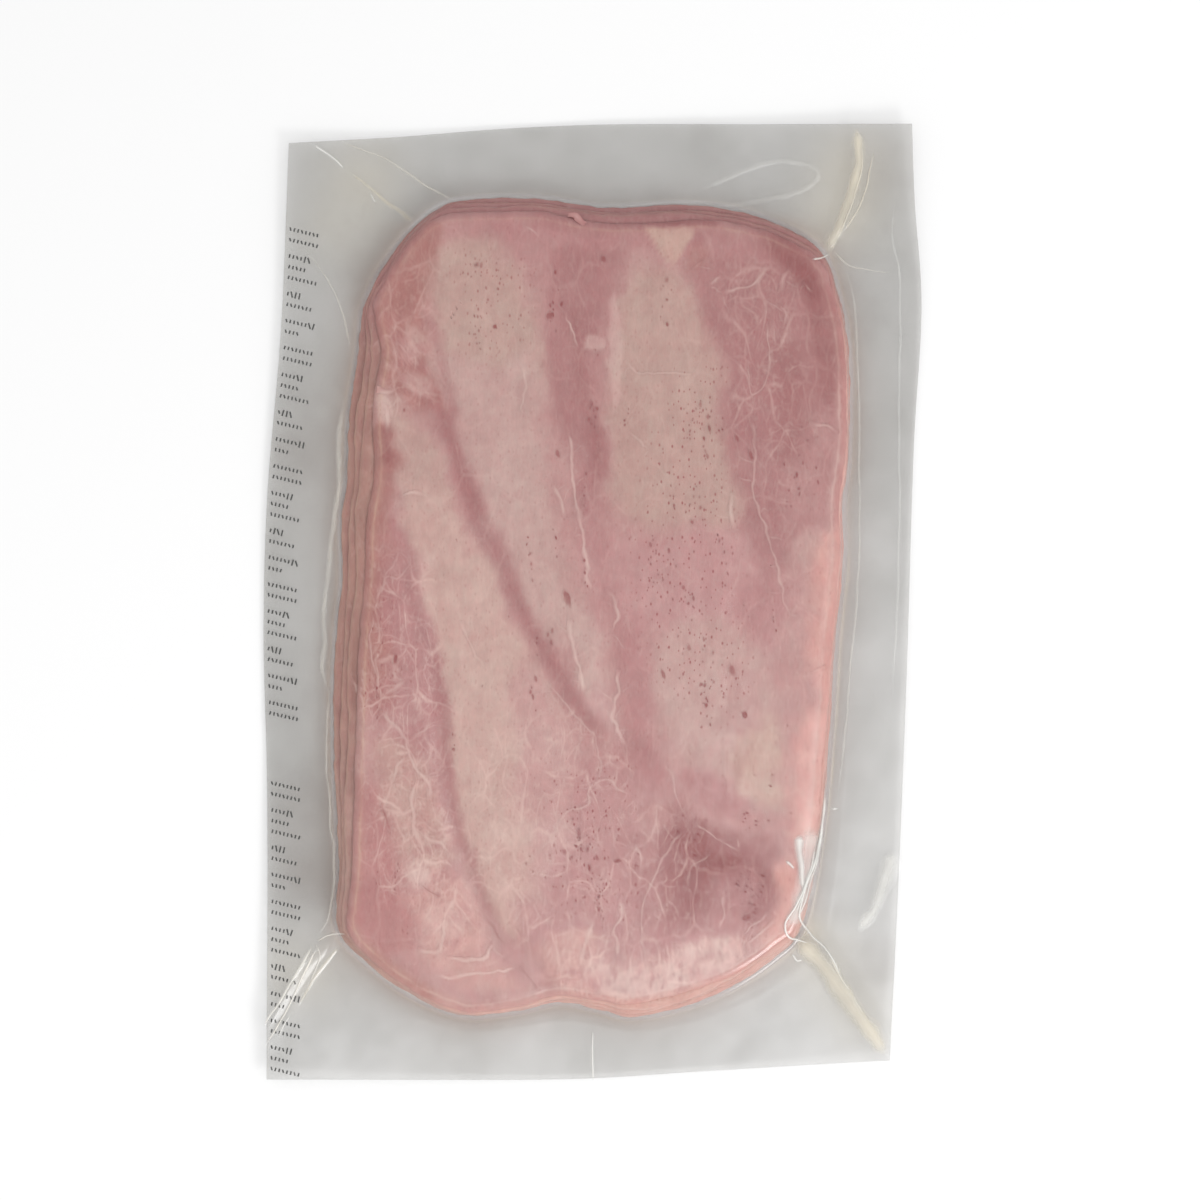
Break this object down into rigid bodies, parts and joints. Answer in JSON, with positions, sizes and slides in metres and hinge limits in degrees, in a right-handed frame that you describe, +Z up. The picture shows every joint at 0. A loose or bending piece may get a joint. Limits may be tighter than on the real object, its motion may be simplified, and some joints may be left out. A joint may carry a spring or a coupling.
{
  "type": "pack of cooked ham",
  "caption": "Flat vacuum pack of sliced cooked ham: a rounded rectangular stack of thin slices sealed in clear film, with a wide flat margin and gathered folds at its corners.",
  "frame": {"origin": "middle of the pack's footprint, on the surface that it lies on", "axes": "+Z up out of the uppermost slice's face, +Y along the pack's length towards its upper end, +X across its width"},
  "size_m": [0.2104, 0.3056, 0.0095],
  "materials": {
    "clear_film": "clear glossy laminate film, slightly grey and hazy, drawn tight over pink ham",
    "cooked_ham": "moist cut face of cooked ham: pale and rose muscle, fine white fat veins, small dark pores",
    "film_print": "dark grey dashes printed along one margin of the film"
  },
  "bodies": {
    "root": {"sealed_pack": "clear_film"}
  },
  "joints": []
}
